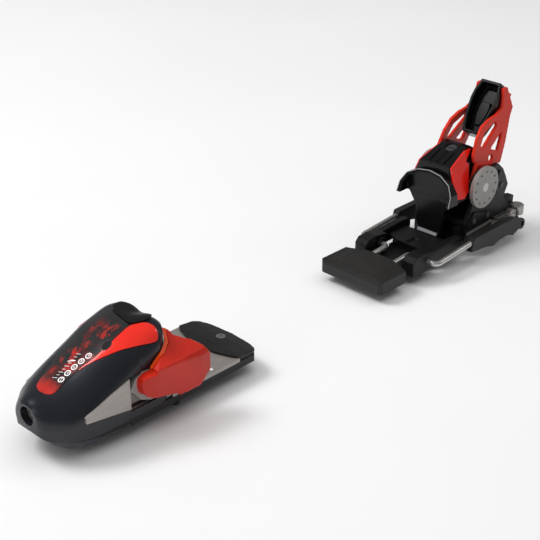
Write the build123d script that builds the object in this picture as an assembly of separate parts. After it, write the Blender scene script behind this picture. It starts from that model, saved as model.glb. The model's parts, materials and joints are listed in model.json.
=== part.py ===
from build123d import *
import os
from math import atan2, cos, degrees, hypot, pi, radians, sin, tan

# Alpine ski binding: a toe piece and a heel piece, laid out as they stand on a ski.
# X runs from the toe piece to the heel piece (towards the ski's tail), Z is up,
# Z = 0 is the ski's top surface and Y = 0 is the ski's centre line. Millimetres.

# ---- driving dimensions ----
overall_length = 529.6        # front of the toe piece to the rear of the end block behind the heel track
nose_datum = 2.0              # the toe piece is measured from a datum this far ahead of its front
boot_sole_length = 318.0      # sole length that the binding is set to
toe_stop = 112.6              # toe datum to the boot's toe
treadle_front = 103.0         # front of the heel pad to the boot's heel
base_half = 32.5              # half width of the toe base
ski_screw_r = 2.75            # hole for a 5.5 mm binding screw
run_gap = 0.06                # radial gap of a pin in its bore
slide_gap = 0.3               # gap between sliding faces

# toe piece, measured back from its datum
floor_z = (8.5, 11.5)         # steel chassis floor
wing_pivot = (83.0, 22.5)     # x and |y| of a wing's pin
wing_hub_r = 19.5
pin_r = 3.0
toe_axis_z = 24.6             # height of the release spring's axis
toe_spring_x = (32.0, 64.0)
toe_screw_span = (72.0, 28.0) # hole spacings of the toe pattern
toe_screw_mid = 110.0
afd_z = (8.8, 11.8, 13.6)     # anti-friction plate: its low side, its front's underside and its top

# heel piece, measured back from the front of its pad
pad_height = 13.6
brake_pivot = (63.5, 9.0)     # x and z of the brake's hinge line
crossbar = (20.0, 6.0)        # x and z of the bar that lifts the pad
wire_r = 2.5
arm_y = 41.2                  # |y| of the brake arms
crank_y = 12.0
track_x = (78.0, 198.0)
track_flange = (18.0, 5.5, 8.0)
screw_axis_z = 14.0
screw_r = 3.5
axle = (142.3, 52.3)          # x and z of the heel's main axle
axle_r = 4.0
disc_r = 18.8
heel_screw_span = (58.0, 18.0)
heel_screw_mid = 141.5
lever_lean = (0.583, 0.813)   # direction from the socket's foot to its top, in X and Z
socket_foot = (159.0, 90.0)
leg_tilt = 6.7                # degrees that each lever leg leans inwards
spring_dir = 110.0            # degrees of the heel spring's axis above +X

toe_x = -overall_length / 2 - nose_datum
heel_x = toe_x + boot_sole_length + toe_stop - treadle_front


# ---- helpers ----
def block(x, y, z):
    """Box between two limits on each axis."""
    centre = Pos((x[0] + x[1]) / 2, (y[0] + y[1]) / 2, (z[0] + z[1]) / 2)
    return centre * Box(x[1] - x[0], y[1] - y[0], z[1] - z[0])


def outline(points, corner=0.0):
    """Closed flat outline, with every corner rounded when corner is set."""
    points = list(points)
    turn = sum(a[0] * b[1] - b[0] * a[1] for a, b in zip(points, points[1:] + points[:1]))
    face = Polygon(*(points if turn > 0 else points[::-1]), align=None)
    return fillet(face.vertices(), corner) if corner else face


def prism_x(points, x, corner=0.0):
    """Outline in (y, z), extruded between two x."""
    plane = Plane(origin=(x[0], 0, 0), x_dir=(0, 1, 0), z_dir=(1, 0, 0))
    return extrude(plane * outline(points, corner), x[1] - x[0])


def prism_y(points, y, corner=0.0, grow=0.0):
    """Outline in (x, z), extruded between two y."""
    face = outline(points, corner)
    if grow:
        face = offset(face, grow, kind=Kind.INTERSECTION)
    plane = Plane(origin=(0, y[1], 0), x_dir=(1, 0, 0), z_dir=(0, -1, 0))
    return extrude(plane * face, y[1] - y[0])


def prism_z(points, z, corner=0.0):
    """Outline in (x, y), extruded between two z."""
    return extrude(Plane.XY.offset(z[0]) * outline(points, corner), z[1] - z[0])


def rod_x(r, x, y, z):
    """Cylinder along X."""
    return Pos((x[0] + x[1]) / 2, y, z) * Rotation(0, 90, 0) * Cylinder(r, x[1] - x[0])


def rod_y(r, x, y, z):
    """Cylinder along Y."""
    return Pos(x, (y[0] + y[1]) / 2, z) * Rotation(90, 0, 0) * Cylinder(r, y[1] - y[0])


def rod_z(r, x, y, z):
    """Cylinder along Z."""
    return Pos(x, y, (z[0] + z[1]) / 2) * Cylinder(r, z[1] - z[0])


def both_ways(points):
    """Outline given by its +y half, front to back, closed over the centre line."""
    return list(points) + [(a, -b) for a, b in reversed(points) if b != 0]


def mirrored(part):
    """The same part on the other side of the centre line."""
    return mirror(part, about=Plane.XZ)


def pair(part):
    """A part and its mirror image, as two solids."""
    return Compound(children=[solid for side in (part, mirrored(part)) for solid in side.solids()])


def coil(radius, wire, length, turns):
    """Compression spring standing on Z = 0."""
    pitch = (length - 2 * wire) / turns
    path = Pos(0, 0, wire) * Helix(pitch, length - 2 * wire, radius)
    start = Plane(origin=path @ 0, z_dir=path % 0)
    return sweep(start * Circle(wire), path=path)


def write(name, part, origin):
    """Places a sub-part in the binding's frame and writes it."""
    solids = [Pos(origin, 0, 0) * solid for solid in part.solids()]
    export_step(solids[0] if len(solids) == 1 else Compound(children=solids), f"parts/{name}.step")


# ---- toe piece ----
def toe_section(x, inset=0.0):
    """Half outline of the toe housing at x: (y, z) from the bottom edge to the top."""
    stations = [
        (2.0, (8, 14), (11.5, 20), (10, 27.5), (6, 32)),
        (9.0, (18, 8.8), (20.5, 17), (15.5, 28.5), (8.5, 34)),
        (20.0, (26, 8.8), (27.5, 20), (18.5, 33), (10, 37)),
        (34.0, (31, 8.8), (31.5, 24), (22, 38.5), (11, 42)),
        (60.0, (33, 8.8), (33, 30), (25, 49.5), (13, 54)),
        (85.0, (33, 8.8), (33, 35), (26.5, 58.5), (15, 63)),
        (99.0, (32, 8.8), (32, 38), (26, 61), (16.5, 66.3)),
        (108.0, (26, 28), (28.5, 40), (24, 55), (15.5, 59)),
    ]
    rows = next(list(s[1:]) for s in stations if s[0] == x)
    return [(max(y - inset, 1.0), z - inset if k else z) for k, (y, z) in enumerate(rows)]


def toe_loft(stations, inset=0.0, start=0.0, end=0.0):
    """Ruled skin through the housing's stations, optionally inset for its inside."""
    faces = []
    for k, x in enumerate(stations):
        half = toe_section(x, inset)
        points = half + [(-y, z) for y, z in reversed(half)]
        place = x + (start if k == 0 else end if k == len(stations) - 1 else 0.0)
        plane = Plane(origin=(place, 0, 0), x_dir=(0, 1, 0), z_dir=(1, 0, 0))
        faces.append(plane * Polygon(*points, align=None))
    return loft(faces, ruled=True)


toe_stations = (2.0, 9.0, 20.0, 34.0, 60.0, 85.0, 99.0, 108.0)
side_plate = [(28.5, 22), (28.5, 26.7), (50, 35), (68, 40.5), (68, 15.5)]
side_web = [(33, 8.5), (33, 27), (50, 34.5), (66, 39.5), (98, 40), (98, 8.5)]
floor_half = [(30, 0), (30, 23), (40, 28), (58, 31), (103, 31), (103, 33), (168, 33), (168, 0)]
wing_room = [(83, 32.7), (94.5, 31), (101.3, 27), (105.7, 19.5), (108, 16), (115, 16), (115, 45), (83, 45)]
wing_front = [(83, 33.5), (95, 31.6), (102, 27.6), (106.5, 20.2), (109.7, 17.5)]
window_half = [(23, 0), (23, 7), (34, 10.5), (60, 12), (88, 12.5), (92, 0)]
flank_half = [(40, 9), (62, 12), (88, 12.6), (101, 15), (103, 24), (84, 24), (62, 21)]


def wing_clearance(side):
    """Round room that a wing's hub turns in."""
    return rod_z(wing_hub_r + 0.5, wing_pivot[0], side * wing_pivot[1], (14.2, 40.7))


def toe_holes(z):
    """The four ski screws' holes through the toe base."""
    dx, dy = toe_screw_span[0] / 2, toe_screw_span[1] / 2
    spots = [(toe_screw_mid + i * dx, j * dy) for i in (-1, 1) for j in (-1, 1)]
    return [rod_z(ski_screw_r, x, y, z) for x, y in spots]


def toe_front_foot():
    half = [(17, 0), (17, 11), (21.5, 20.5), (30, 26.5), (62, 27), (65, 23), (65, 0)]
    return prism_z(both_ways(half), (0, 4.9))


def toe_base():
    plan = both_ways([(15, 0), (15, 10), (20, 19.5), (28, 26), (42, 31), (60, base_half), (183, base_half),
                      (189.5, 26), (192, 12), (192, 0)])
    tray = prism_z(plan, (5, floor_z[0]))
    skirt = prism_z(both_ways([(66, 0), (66, base_half), (183, base_half), (189.5, 26), (192, 12), (192, 0)]),
                    (2.7, 5))
    keel = block((72, 186), (-24, 24), (0, 2.7))
    body = tray + skirt + keel
    slot = block((171, 183), (-20, 20), (5.2, 7.2)) + block((174, 180), (-20, 20), (7.2, 12))
    peg = rod_z(3, 107, 30.5, (0.4, 2.7))
    body = body + peg + mirrored(peg) - slot
    for hole in toe_holes((-1, 12)):
        body -= hole
    return body


def toe_chassis():
    body = prism_z(both_ways(floor_half), floor_z)
    for side in (1, -1):
        low, high = sorted((side * 29, side * 31))
        web = prism_y(side_web, (low, high))
        low, high = sorted((side * 31, side * 33))
        plate = prism_y(side_plate, (low, high))
        body = body + (web + plate - wing_clearance(side))
        body -= rod_z(pin_r, wing_pivot[0], side * wing_pivot[1], (0, 20))
    seat = block((64.2, 67.2), (-9, 9), (floor_z[1], 38)) - rod_x(5.4, (60, 70), 0, toe_axis_z)
    body += seat
    for hole in toe_holes((0, 12)):
        body -= hole
    return body


def toe_guide_ribs():
    """White ribs on the chassis floor, two on each side."""
    ribs = [block((x, x + 2), (22.5, 31), (floor_z[1], floor_z[1] + 0.8)) for x in (135.5, 141.3)]
    return pair(ribs[0] + ribs[1])


def toe_shell_outer():
    return toe_loft(toe_stations)


def toe_window(outer):
    """Clear cover let into the top of the housing."""
    skin = outer - toe_loft(toe_stations, inset=1.4)
    return skin & prism_z(both_ways(window_half), (25, 75))


def toe_flank(outer, window):
    """Gloss side panel beside the window, on the +y side."""
    skin = outer - toe_loft(toe_stations, inset=1.4)
    return (skin & prism_z(flank_half, (36, 75))) - window


def toe_housing(outer, window, flank):
    cavity = toe_loft(toe_stations[1:], inset=4.0, start=6.0, end=-4.0)
    cavity = cavity + block((18, 100), (-27, 27), (8, 14)) + block((90, 102.3), (-12, 12), (11, 32))
    body = outer - cavity - window - flank - mirrored(flank)
    for side in (1, -1):
        low, high = sorted((side * 28.7, side * 31.2))
        body -= prism_y(side_web, (low, high), grow=0.25)
        low, high = sorted((side * 30.8, side * 34))
        body -= prism_y(side_plate, (low, high), grow=0.2)
        body -= wing_clearance(side)
        body -= prism_z([(98, side * 12), (98, side * 40), (112, side * 40), (112, side * 12)], (8, 40.7))
        body -= prism_z([(x, side * y) for x, y in wing_room], (40.6, 62))
        body -= rod_z(pin_r + 0.02, wing_pivot[0], side * wing_pivot[1], (8, 52.5))
    body -= rod_x(6.9, (-2, 18.4), 0, toe_axis_z)
    body -= rod_x(5.2, (5, 24), 0, toe_axis_z)
    body -= prism_z(both_ways(floor_half), (8, floor_z[1] + 0.2))
    return body.solids().sort_by(SortBy.VOLUME)[-1]


def wing_trimmed(body):
    """Cuts a wing's blank to its sloping roof and its bevelled ends, on the +y side."""
    body -= prism_x([(17, 58.5), (20, 57), (34, 47.5), (42, 42.5), (46.5, 31), (50, 31), (50, 70), (17, 70)], (60, 140))
    body -= prism_y([(60, 26), (66, 30), (72, 38), (82, 41.5), (92, 47.5), (100, 52), (107, 58), (107, 70), (60, 70)],
                    (0, 50))
    body -= prism_y([(106, 58), (116, 51.5), (126, 43.5), (132, 34), (140, 31), (140, 70), (106, 70)], (0, 50))
    body -= prism_y([(117, 14), (123, 18.5), (129.5, 24), (134, 31), (140, 31), (140, 14)], (0, 50))
    return body - prism_y([(60, 14), (60, 34), (69.5, 26), (75, 19), (84, 15.2), (84, 14)], (28, 50))


def wing(side, lip):
    """Toe wing on the +y side: low hub, tall cheek over the boot's toe lug, open underneath."""
    px, py = wing_pivot
    arc = (Pos(px, py) * Circle(wing_hub_r)) & (Pos(px, py + 20) * Rectangle(2 * wing_hub_r, 43))
    inner = [(111, 26), (118, 31.5), (131, 35), (133, 39), (129.5, 43.2), (122, 43.6), (104, 42.8)]
    low_cheek = outline([(px, py), (px + 12, py), (106, 20), (109.7, 17.5)] + inner + [(px, 42)])
    low = extrude(Plane.XY.offset(15.3) * (arc + Pos(px, py) * Circle(10) + low_cheek), 24.7)
    high = prism_z(wing_front + inner + [(px, 42)], (40, 60))
    body = wing_trimmed(low + high)
    body -= block((108, 140), (0, 32.6), (10, 34.5))
    finger = block((px + 5.5, px + 11), (9.2, 16), (19, 30))
    body = body + finger - rod_z(pin_r + run_gap, px, py, (0, 60)) - lip
    return body if side > 0 else mirrored(body)


def wing_lip():
    """Bright edge strip along the front of the wing's cheek, on the +y side."""
    back = [(109.7, 20.4), (108.3, 21.6), (103.8, 29), (96, 33.9), (83, 35.9)]
    return wing_trimmed(prism_z(wing_front + back, (40, 60)))


def wing_pins():
    pin = rod_z(pin_r, *wing_pivot, (floor_z[0], 52.3))
    return pair(pin)


def toe_drawbar():
    """Tube that runs through the spring, with a yoke level with the wings' fingers."""
    tube = rod_x(5.0, (20, 92), 0, toe_axis_z) - rod_x(3.1, (18, 80), 0, toe_axis_z)
    yoke = block((95.2, 98), (-8.6, 8.6), (18, 31)) + block((90, 98), (-4.5, 4.5), (20, 29.2))
    return tube + yoke


def toe_spring():
    x0, x1 = toe_spring_x
    spring = coil(7.2, 1.4, x1 - x0 - 0.4, 6)
    return Pos(x0 + 0.2, 0, toe_axis_z) * Rotation(0, 90, 0) * spring


def toe_spring_nut():
    """Square nut that sets the spring's preload, with the pointer of the release scale."""
    nut = block((27.5, 31.8), (-8.5, 8.5), (toe_axis_z - 8.5, toe_axis_z + 7))
    return nut - rod_x(5.06, (20, 40), 0, toe_axis_z)


def toe_setting_screw():
    head = rod_x(6.2, (9.5, 14.5), 0, toe_axis_z) - block((8, 12), (-1, 1), (toe_axis_z - 5, toe_axis_z + 5))
    head -= block((8, 12), (-5, 5), (toe_axis_z - 1, toe_axis_z + 1))
    return head + rod_x(3.04, (14, 62), 0, toe_axis_z)


def afd_plate():
    """Anti-friction plate under the boot's toe; it slides sideways."""
    low, under, top = afd_z
    half = [(158, 0), (159.2, 14), (164, 28), (167, 32), (181, 32.4), (186, 30), (190, 22), (192.4, 0)]
    wedge = [(157, under), (157, top), (168, top), (180, top - 1.6), (188, top - 3.4), (193, top - 4.6),
             (193, low), (168.4, low), (168.4, under)]
    body = prism_z(both_ways(half), (low, top)) & prism_y(wedge, (-40, 40))
    return body - rod_z(3.6, 180, 0, (top - 2.8, top))


def afd_shoe():
    foot = block((171.3, 182.7), (-13, 13), (5.5, 6.9))
    neck = block((174.3, 179.7), (-13, 13), (6.9, afd_z[0]))
    return foot + neck


def afd_screw():
    seat = afd_z[2] - 2.8
    head = rod_z(3.6, 180, 0, (seat, seat + 1.1))
    cross = block((177.6, 182.4), (-0.5, 0.5), (seat + 0.5, 16)) + block((179.5, 180.5), (-2.4, 2.4), (seat + 0.5, 16))
    return head - cross


# ---- brake ----
def brake_path():
    """Centre line of the brake's bent wire, from one arm round the crossbar to the other."""
    px, pz = brake_pivot
    half = [(120, arm_y, 13.0), (px, arm_y, pz), (px, crank_y, pz), (crossbar[0], crank_y, crossbar[1])]
    return half + [(x, -y, z) for x, y, z in reversed(half)]


def brake_wire():
    path = FilletPolyline(*brake_path(), radius=4.5)
    start = Plane(origin=path @ 0, z_dir=path % 0)
    return sweep(start * Circle(wire_r), path=path)


def brake_foot(side, wire):
    """Moulded paddle pressed on a brake arm's end, on the +y side."""
    side_view = [(108, 5.5), (112, 17.5), (150, 18), (172, 17.5), (184, 13), (184.5, 5), (172, 0.4), (164, 3.2),
                 (152, 3.2), (142, 0.4), (130, 3.4)]
    body = prism_y(side_view, (37.6, 44.6), corner=1.2)
    loop = rod_y(5.2, 187.5, (39.1, 43.1), 6.2) - rod_y(2.6, 187.5, (38, 44), 6.2)
    body = body + (loop - block((170, 184), (36, 46), (0, 14)))
    body = body - wire
    return body if side > 0 else mirrored(body)


def brake_rollers():
    roller = rod_y(5.6, brake_pivot[0], (17.2, 19.3), brake_pivot[1])
    return pair(roller - rod_y(wire_r, brake_pivot[0], (10, 25), brake_pivot[1]))


def brake_pedal():
    """Heel pad: a thick moulded plate, hollow below, hooked on the crossbar."""
    plan = both_ways([(0, 0), (0, 30), (2.5, 33), (33, 33), (36.5, 22), (39, 8), (39, 0)])
    body = prism_z(plan, (0.1, pad_height))
    body -= prism_y([(-1, 9), (3.5, pad_height), (7, pad_height + 1), (-1, pad_height + 1)], (-40, 40))
    body -= prism_x([(20, pad_height), (33.2, 11.8), (33.2, 15), (20, 15)], (-1, 40))
    body -= prism_x([(-20, pad_height), (-33.2, 11.8), (-33.2, 15), (-20, 15)], (-1, 40))
    hollow = block((3.4, 31), (-29.6, 29.6), (-1, 9.8)) + block((30, 40), (-16, 16), (-1, 9.8))
    lug = block((15, 25), (-8, 8), (2.4, 9.8))
    body = body - hollow + lug
    return body - rod_y(wire_r + run_gap, crossbar[0], (-9, 9), crossbar[1])


def brake_base(side):
    """Side block that carries the brake's hinge, on the +y side."""
    front = [(44, 0.1), (44, 13), (48, 17), (58, 17.6), (72, 15.8), (72, 0.1)]
    bar = [(60, 3), (60, 17), (66, 16), (74, 15.5), (98, 16.5), (110, 16), (112, 13), (112, 7), (96, 3)]
    body = prism_y(front, (19.6, 32)) + prism_y(bar, (25, 32))
    body -= rod_y(wire_r + run_gap, brake_pivot[0], (10, 40), brake_pivot[1])
    return body if side > 0 else mirrored(body)


def heel_base_plate():
    """Thin steel plate that joins the brake blocks to the track."""
    plate = block((41.5, 77.9), (-19.4, 19.4), (0, 2.2))
    return plate + block((44, 72), (-19.4, 19.4), (0, 2.2))


# ---- heel track and carrier ----
def heel_holes(z):
    dx, dy = heel_screw_span[0] / 2, heel_screw_span[1] / 2
    return [(heel_screw_mid + i * dx, j * dy) for i in (-1, 1) for j in (-1, 1)]


def heel_track():
    x0, x1 = track_x
    half, low, top = track_flange
    body = block((x0, x1), (-22, 22), (0, 2.5)) + block((x0, x1), (-13, 13), (2.5, low))
    body += block((x0, x1), (-half, half), (low, top))
    for x, y in heel_holes(0):
        body -= rod_z(ski_screw_r, x, y, (-1, 10))
        body -= rod_z(4.9, x, y, (low, 10))
    for k in range(9):
        body -= block((104 + 4 * k, 106 + 4 * k), (-2.6, 2.6), (6.2, 9))
    return body


def brake_cover():
    """Flat cover between the two brake blocks, just above the front of the track."""
    half = [(76, 0), (76, 12), (81, 24.8), (104, 24.8), (104, 0)]
    body = prism_z(both_ways(half), (track_flange[2] + 0.1, 11.2))
    return body - block((78, 90), (-3, 3), (9.8, 12))


def track_nut():
    body = block((148, 162), (-6.5, 6.5), (track_flange[2], 20))
    return body - rod_x(screw_r + run_gap, (140, 170), 0, screw_axis_z)


def side_latch():
    """Bright steel latch on the carrier's rear corner, with its rounded head."""
    shank = prism_z([(160, -27.4), (161, -32), (164, -34), (188, -34), (196, -31), (196, -27.4)], (9.2, 14))
    shank += prism_y([(182, 9.2), (182, 15.5), (187, 18), (193, 14), (193, 9.2)], (-33, -27.4))
    ribs = [block((163 + 3.4 * k, 164.8 + 3.4 * k), (-34, -27.4), (14, 17)) for k in range(5)]
    head = Pos(197, -30, 14) * (Cylinder(6.5, 8) + Pos(0, 0, 4) * scale(Sphere(6.5), (1, 1, 0.3)))
    body = shank + head - block((180, 190.3), (-27.4, -20), (0, 30))
    for rib in ribs:
        body += rib
    return body


def track_end_cap():
    """Black end block behind the track and under the latch."""
    plan = [(184, -31.5), (182, -24), (198.1, -24), (198.1, 22), (202, 22), (204, 16), (204, -26), (200, -31.5)]
    return prism_z(plan, (0.1, 5.4))


def carrier_sled():
    """Jaws that grip the track and the deck above the adjusting screw."""
    jaw = block((116, 183), (18.4, 23.5), (2.8, 20)) + block((116, 183), (13.4, 18.5), (2.8, 5.2))
    deck = block((120, 170.0), (-23.5, 23.5), (20.3, 25))
    side = block((164, 200.0), (16.8, 23.5), (8.4, 25))
    roof = block((164, 198.0), (-23.5, 23.5), (20.9, 25))
    wall = block((164, 170), (8.2, 18.5), (8.4, 21))
    body = deck + roof
    for part in (jaw, side, wall):
        body = body + part + mirrored(part)
    return body


def carrier_cheek():
    """Upright that holds the main axle, on the +y side."""
    plate = [(122, 8), (122, 22), (129, 35), (134, 50), (136, 64), (148, 66.5), (158, 66), (165, 67), (173, 60),
             (178.5, 51), (182.7, 42.5), (178.5, 35), (177.4, 31), (185, 24), (190, 20), (190, 8)]
    body = prism_y(plate, (23.5, 27.4)) + rod_y(15.5, axle[0], (23.5, 27.4), axle[1])
    rim = prism_y([(163, 40), (166, 62), (172, 57), (180, 43), (175, 34)], (27.4, 29.0), corner=1.5)
    foot = prism_y([(124, 17.5), (124, 21), (131, 31), (150, 26), (160, 21.5), (158, 17.5)], (27.4, 29.4), corner=1.2)
    body = body + rim + foot
    return body - rod_y(axle_r, axle[0], (20, 30), axle[1])


def heel_carrier():
    cheek = carrier_cheek()
    return carrier_sled() + cheek + mirrored(cheek)


def carrier_rails():
    """Bright steel strips along the carrier's sides."""
    strip = prism_y([(124, 11.3), (124, 13.6), (159, 15.2), (159, 12.9)], (27.4, 28.8))
    return pair(strip)


def rear_cover():
    side_view = [(161, 25), (163, 46), (169, 56.5), (180, 56), (189, 48), (197, 34), (198, 25)]
    body = prism_y(side_view, (-13.4, 13.4), corner=2.0)
    inner = [(165, 24), (166, 44), (171, 52), (178, 52), (186, 45), (193, 33), (194, 24)]
    return body - prism_y(inner, (-10.8, 10.8))


def adjuster_block():
    body = block((184, 194), (-16.3, 16.3), (8.8, 20.4))
    return body - rod_x(screw_r + run_gap, (180, 200), 0, screw_axis_z)


def length_screw():
    """Screw that moves the heel along its track; the thread is left plain."""
    shank = rod_x(screw_r, (140, 195), 0, screw_axis_z)
    head = rod_x(5.6, (194.2, 203), 0, screw_axis_z) + rod_x(5.2, (180.5, 183.7), 0, screw_axis_z)
    return shank + head - block((200, 204), (-1, 1), (8, 20))


def pressure_springs():
    spring = coil(3.0, 0.55, 13.4, 6)
    return pair(Pos(170.3, 12.3, screw_axis_z) * Rotation(0, 90, 0) * spring)


# ---- heel housing, lever and release spring ----
def main_axle():
    return rod_y(axle_r, axle[0], (-31.2, 31.2), axle[1])


def axle_disc(side):
    """Side disc on the axle, with a ring of twelve small holes."""
    body = rod_y(disc_r, axle[0], (27.7, 31.2), axle[1]) - rod_y(axle_r, axle[0], (20, 40), axle[1])
    for k in range(12):
        angle = 2 * pi * k / 12
        x, z = axle[0] + 14.6 * cos(angle), axle[1] + 14.6 * sin(angle)
        body -= rod_y(1.1, x, (29.4, 40), z)
    return body if side > 0 else mirrored(body)


tent = [(26, 46), (12, 86), (-12, 86), (-26, 46)]
housing_side = [(106.5, 46), (105.4, 58), (107, 70), (107.8, 76), (122, 81.8), (134, 86.2), (141, 86.4), (150, 81),
                (159, 67), (162, 54), (157, 43), (147, 37), (132, 37), (124, 41)]
housing_wide = [(106.5, 46), (105.4, 58), (107, 70), (107.8, 76), (122, 81.8), (134, 86.2), (137.5, 86.4), (136, 74),
                (129, 54), (127, 46)]


def along_spring(r, low, high):
    """Cylinder on the heel spring's axis between two distances from the main axle."""
    mid = (low + high) / 2
    a = radians(spring_dir)
    place = Pos(axle[0] + mid * cos(a), 0, axle[1] + mid * sin(a))
    return place * Rotation(0, 90 - spring_dir, 0) * Cylinder(r, high - low)


def heel_housing():
    core = prism_y(housing_side, (-16.2, 16.2))
    wide = prism_y(housing_wide, (-30, 30))
    for low, high in ((-40, -23.2), (23.2, 40)):
        wide -= rod_y(15.9, axle[0], (low, high), axle[1])
    body = (core + wide) & prism_x([(26, 36), (26, 46), (12, 87), (-12, 87), (-26, 46), (-26, 36)], (90, 170))
    body -= rod_y(16.6, axle[0], (-7, 7), axle[1])
    body -= rod_y(axle_r + run_gap, axle[0], (-30, 30), axle[1])
    body -= along_spring(8.3, 10, 31.5)
    body -= along_spring(5.3, 30, 40)
    return body


def heel_cup(housing):
    """Hood over the boot's heel ledge and the throat down to the treadle."""
    outer = [(28.2, 46), (27.5, 56), (22.5, 64.5), (12, 70), (0, 71.6)]
    inner = [(25.2, 46), (24.6, 55), (20.4, 62), (11, 67), (0, 68.4)]
    hood = prism_x(outer + [(-y, z) for y, z in reversed(outer[:-1])], (94, 107))
    hood -= prism_x([(25.2, 40)] + inner + [(-y, z) for y, z in reversed(inner[:-1])] + [(-25.2, 40)], (90, 104.8))
    hood -= prism_y([(90, 40), (90, 75), (103.5, 75), (93.5, 46)], (-40, 40))
    hood &= prism_y([(90, 46), (104.8, 71.7), (90, 75), (107, 75), (107, 46)], (-40, 40)) + block(
        (90, 107), (-40, 40), (46, 75))
    hood -= prism_y([(104.9, 70.1), (107.1, 45.9), (110, 45.9), (110, 80), (104.9, 80)], (-40, 40))
    throat = prism_x([(23, 46.2), (15, 34), (11.5, 12), (-11.5, 12), (-15, 34), (-23, 46.2)], (104.5, 109.5))
    rib = block((109, 116), (-4, 4), (28, 43))
    return hood + throat + rib - housing


def treadle():
    """Step-in spur under the boot's heel."""
    body = block((103, 104.4), (-10.6, 10.6), (11.6, 14.4)) + block((102.4, 104.4), (-10.6, 10.6), (11.6, 13.2))
    return body


def side_panel(side, housing):
    """Gloss panel on the housing's sloping side, on the +y side."""
    grown = prism_x([(0, 40), (29.5, 40.4), (13.1, 87), (0, 87)], (100, 140))
    inner = prism_x([(0, 30), (26.03 + 3.5, 36), (26.03, 46), (12.03, 86), (0, 90)], (90, 150))
    shape = prism_y([(106.6, 49.7), (107.6, 66), (108.6, 75.4), (120, 80.2), (131, 84.4), (141, 84.4), (130, 76.2),
                     (133.4, 73.2), (125.4, 51.9), (118.1, 48)], (5, 40))
    body = (grown - inner) & shape
    body -= rod_y(15.9, axle[0], (23.2, 40), axle[1])
    body -= housing
    return body if side > 0 else mirrored(body)


def heel_cam():
    """Eccentric on the axle that the release spring's piston rides on."""
    lift = Pos(axle[0] + 4 * cos(radians(40)), 0, axle[1] + 4 * sin(radians(40)))
    body = lift * Rotation(90, 0, 0) * Cylinder(11, 12)
    return body - rod_y(axle_r, axle[0], (-10, 10), axle[1])


def heel_piston():
    return along_spring(8.0, 12.8, 17.5)


def heel_spring():
    a = radians(spring_dir)
    spring = coil(6.2, 1.2, 9.2, 3)
    place = Pos(axle[0] + 17.8 * cos(a), 0, axle[1] + 17.8 * sin(a))
    return place * Rotation(0, 90 - spring_dir, 0) * spring


def heel_nut():
    return along_spring(8.0, 27.3, 29.5) - along_spring(3.06, 20, 40)


def heel_setting_screw():
    head = along_spring(5.0, 31.6, 33.4)
    a = radians(spring_dir)
    slot = Pos(axle[0] + 33.4 * cos(a), 0, axle[1] + 33.4 * sin(a)) * Rotation(0, 90 - spring_dir, 0) * Box(1.2, 12, 1.6)
    return head + along_spring(3.0, 22, 32) - slot


def lever_leg():
    """One side of the lever, on the +y side: hub, neck and the pierced leaf."""
    leaf = [(137.4, 73.6), (136.6, 79.7), (142.4, 93.3), (150, 102.3), (160.5, 106.3), (171, 107.8), (180, 112),
            (183, 128.5), (188.5, 128.5), (196.4, 108.9), (192.1, 101.9), (184, 79.4), (176, 63.2), (158, 65)]
    body = prism_y(leaf, (19.2, 22.2))
    body -= prism_y([(170, 102.6), (153.5, 95.8), (147.2, 85.8), (151.5, 83.6), (171.5, 98)], (10, 30), corner=1.0)
    body -= prism_y([(180.2, 92.4), (161.6, 79.4), (172, 75.4)], (10, 30), corner=1.0)
    body -= rod_y(3.1, 161.4, (10, 30), 71.3)
    body = body.rotate(Axis((0, 20.6, 62), (1, 0, 0)), leg_tilt)
    neck = prism_y([(133, 54), (139.5, 72), (165, 66.5), (151, 48)], (18.6, 22.4))
    hub = rod_y(10, axle[0], (18.6, 22.4), axle[1])
    return body + neck + hub - rod_y(axle_r + run_gap, axle[0], (10, 30), axle[1])


def socket_plane(along, back):
    """Plane parallel to the socket's face, a way along the lever and behind the face."""
    dx, dz = lever_lean
    return Plane(origin=(socket_foot[0] + along * dx + back * dz, 0, socket_foot[1] + along * dz - back * dx),
                 x_dir=(0, -1, 0), z_dir=(-dz, 0, dx))


socket_half = [(-1, 6.8), (3, 8.6), (15, 11.6), (30, 13.5), (38, 13), (45, 10.8), (48.5, 10.2)]


def socket_outline(inset=0.0):
    """Shield outline in the socket's plane."""
    right = [(w - inset, s) for s, w in socket_half]
    right = [(w, min(max(s, inset - 1), 48.5 - inset)) for w, s in right]
    return Polygon(*(right + [(-w, s) for w, s in reversed(right)]), align=None)


def pole_socket():
    body = extrude(socket_plane(0, 10) * socket_outline(), 13.8)
    return body - extrude(socket_plane(0, 7.0) * socket_outline(2.6), 14)


def lever():
    """Heel lever: two legs and the bridge behind the pole socket."""
    leg = lever_leg()
    bridge = extrude(socket_plane(0, 14) * Polygon((-14.5, 22), (14.5, 22), (13.5, 46), (-13.5, 46), align=None), 3.9)
    body = bridge
    for side in (leg, mirrored(leg)):
        body = body + side
    keep_out = extrude(socket_plane(0, 10.0) * socket_outline(-0.2), 24)
    return body - keep_out


def cup_trim():
    """Thin bright edge round the hood's front."""
    outer = [(28.2, 46.5), (27.5, 56), (22.5, 64.5), (12, 70), (0, 71.6)]
    inner = [(27.6, 46.5), (26.9, 55.8), (22.1, 64), (11.8, 69.4), (0, 71)]
    ring = prism_x(outer + [(-y, z) for y, z in reversed(outer[:-1])], (90, 110))
    ring -= prism_x(inner + [(-y, z) for y, z in reversed(inner[:-1])], (80, 120))
    ring -= prism_x([(-30, 40), (30, 40), (30, 46.6), (-30, 46.6)], (80, 120))
    return ring & prism_y([(92.6, 46), (102.6, 75), (103.5, 75), (93.5, 46)], (-40, 40))


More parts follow.
